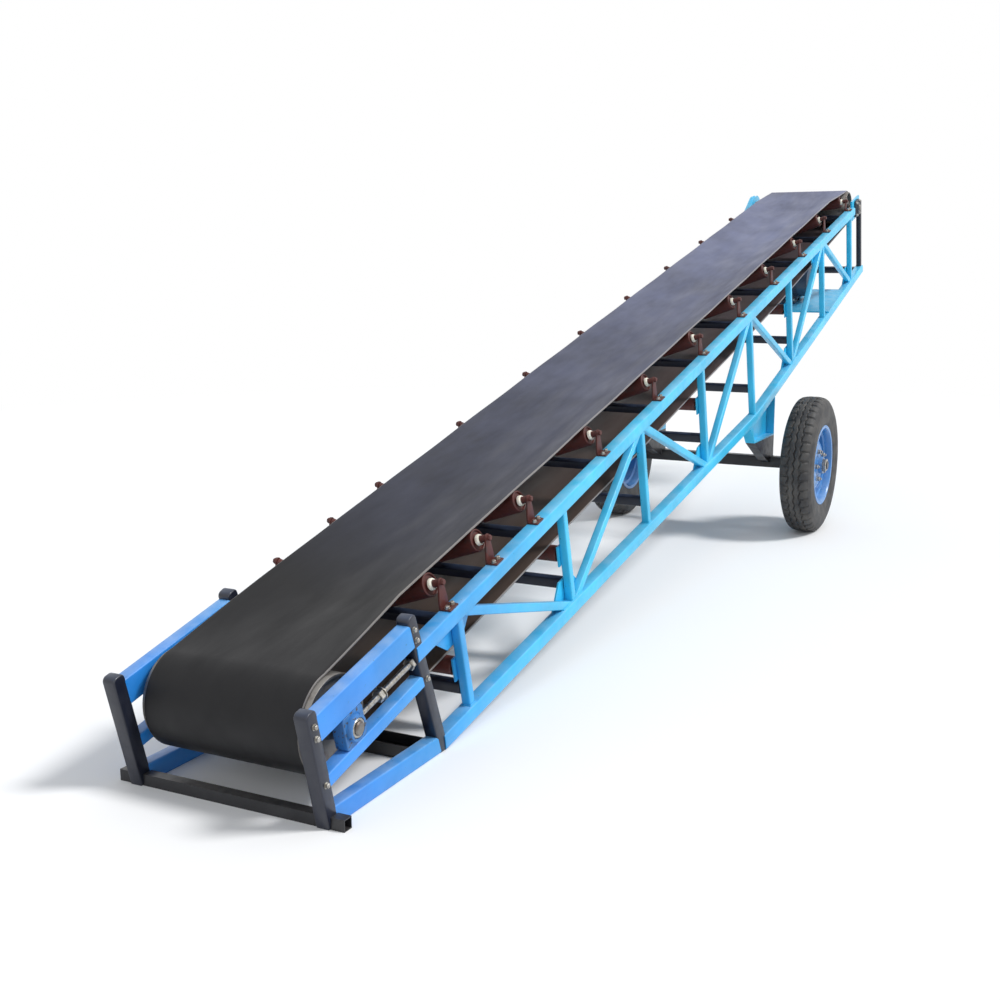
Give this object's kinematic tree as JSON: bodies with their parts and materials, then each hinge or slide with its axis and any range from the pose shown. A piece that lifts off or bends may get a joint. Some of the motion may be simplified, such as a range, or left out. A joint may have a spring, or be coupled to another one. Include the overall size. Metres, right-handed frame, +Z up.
{
  "type": "portable belt conveyor",
  "caption": "Inclined troughed belt conveyor on a welded steel truss with road wheels, a skid-foot tail frame and a motor drive at its head.",
  "frame": {"origin": "on the floor, below the middle of the whole machine's box", "axes": "+X from the loading tail to the discharge head, +Y to the machine's left, +Z up"},
  "size_m": [6.6656, 1.316, 1.9446],
  "materials": {
    "frame_blue": "gloss enamel over welded steel",
    "post_navy": "dark blue enamel",
    "belt_rubber": "matt ply rubber",
    "tyre_rubber": "matt tyre rubber",
    "rim_blue": "enamelled pressed steel",
    "roller_red": "red-brown primer",
    "cap_cream": "moulded nylon",
    "bright_steel": "bare threaded steel",
    "casting_blue": "painted casting",
    "casting_dark": "dark casting",
    "drum_steel": "dark painted steel",
    "motor_slate": "slate enamel casting",
    "axle_black": "black chassis paint"
  },
  "bodies": {
    "root": {"axle": "axle_black", "axle_saddles": "axle_black", "belt": "belt_rubber", "bottom_chord_left": "frame_blue", "bottom_chord_right": "frame_blue", "bottom_rail_left": "frame_blue", "bottom_rail_right": "frame_blue", "centre_rollers": "roller_red", "chain_guard": "frame_blue", "cross_members": "post_navy", "drive_hangers": "frame_blue", "end_uprights": "frame_blue", "front_posts": "post_navy", "gearbox": "motor_slate", "gussets": "frame_blue", "head_bearings": "casting_dark", "head_drum": "drum_steel", "head_plates": "frame_blue", "idler_bars": "post_navy", "idler_end_caps": "cap_cream", "idler_inner_brackets": "roller_red", "idler_outer_brackets": "roller_red", "leg_left": "frame_blue", "leg_right": "frame_blue", "lower_rails": "frame_blue", "motor": "motor_slate", "motor_plate": "frame_blue", "output_shaft": "bright_steel", "return_hangers": "frame_blue", "return_rollers": "roller_red", "second_posts": "post_navy", "spindle_nuts": "bright_steel", "tail_cross_bars": "axle_black", "tail_drum": "drum_steel", "takeup_blocks": "casting_blue", "takeup_screws": "bright_steel", "top_chord_left": "frame_blue", "top_chord_right": "frame_blue", "upper_rails": "frame_blue", "web_left": "frame_blue", "web_right": "frame_blue", "wing_rollers": "roller_red"},
    "wheel_right": {"rim_right": "rim_blue", "tyre_right": "tyre_rubber"},
    "wheel_left": {"rim_left": "rim_blue", "tyre_left": "tyre_rubber"}
  },
  "joints": [
    {"name": "wheel_right_spin", "type": "hinge", "parent": "root", "child": "wheel_right", "pos_m": [1.02605, -0.558, 0.37], "axis": [0, 1, 0], "continuous": true},
    {"name": "wheel_left_spin", "type": "hinge", "parent": "root", "child": "wheel_left", "pos_m": [1.02605, 0.558, 0.37], "axis": [0, 1, 0], "continuous": true}
  ]
}
